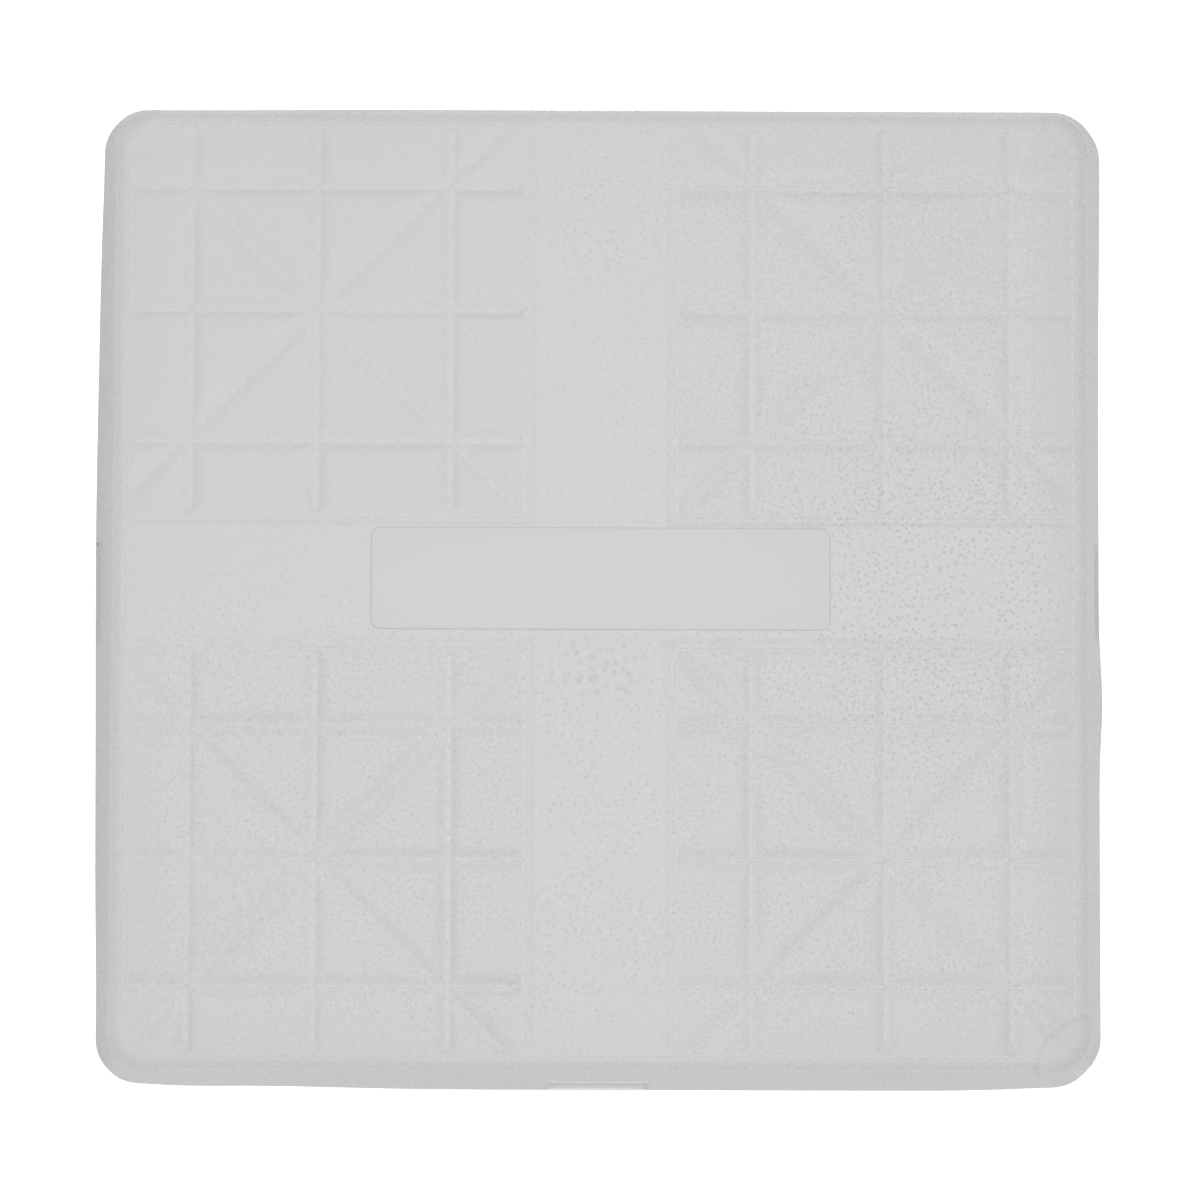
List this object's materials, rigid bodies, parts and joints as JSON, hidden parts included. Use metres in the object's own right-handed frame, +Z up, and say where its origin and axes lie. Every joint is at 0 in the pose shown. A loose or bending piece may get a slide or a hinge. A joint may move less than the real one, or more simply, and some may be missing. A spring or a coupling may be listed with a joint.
{
  "type": "baseball base",
  "caption": "Square moulded-rubber field base with a quilted top, crossing straps, a bare raised plate and leaning walls, on a square ground stanchion.",
  "frame": {"origin": "centre of the base in the plane of the ground that it lies on", "axes": "+Z up, +X along the wider side, to the right in the picture, +Y towards the top of the picture"},
  "size_m": [0.381, 0.3746, 0.204],
  "materials": {
    "white_rubber": "fine pebbled moulded rubber",
    "black_sheet": "matte",
    "closed_cell_foam": "closed-cell foam",
    "zinc_steel": "zinc plated",
    "fastener_steel": "satin",
    "brass_insert": "satin"
  },
  "bodies": {
    "root": {"rubber_cover": "white_rubber", "bottom_sheet": "black_sheet", "stanchion_flange": "zinc_steel", "stanchion_post": "zinc_steel", "foam_pad_front_left": "closed_cell_foam", "foam_pad_front_right": "closed_cell_foam", "foam_pad_rear_left": "closed_cell_foam", "foam_pad_rear_right": "closed_cell_foam", "gusset_right": "zinc_steel", "gusset_rear": "zinc_steel", "gusset_left": "zinc_steel", "gusset_front": "zinc_steel", "flange_insert_front_left": "brass_insert", "flange_insert_front_right": "brass_insert", "flange_insert_rear_left": "brass_insert", "flange_insert_rear_right": "brass_insert", "sheet_insert_front_left": "brass_insert", "sheet_insert_front": "brass_insert", "sheet_insert_front_right": "brass_insert", "sheet_insert_left": "brass_insert", "sheet_insert_right": "brass_insert", "sheet_insert_rear_left": "brass_insert", "sheet_insert_rear": "brass_insert", "sheet_insert_rear_right": "brass_insert", "flange_bolt_front_left": "fastener_steel", "flange_bolt_front_right": "fastener_steel", "flange_bolt_rear_left": "fastener_steel", "flange_bolt_rear_right": "fastener_steel", "sheet_screw_front_left": "fastener_steel", "sheet_screw_front": "fastener_steel", "sheet_screw_front_right": "fastener_steel", "sheet_screw_left": "fastener_steel", "sheet_screw_right": "fastener_steel", "sheet_screw_rear_left": "fastener_steel", "sheet_screw_rear": "fastener_steel", "sheet_screw_rear_right": "fastener_steel"}
  },
  "joints": []
}
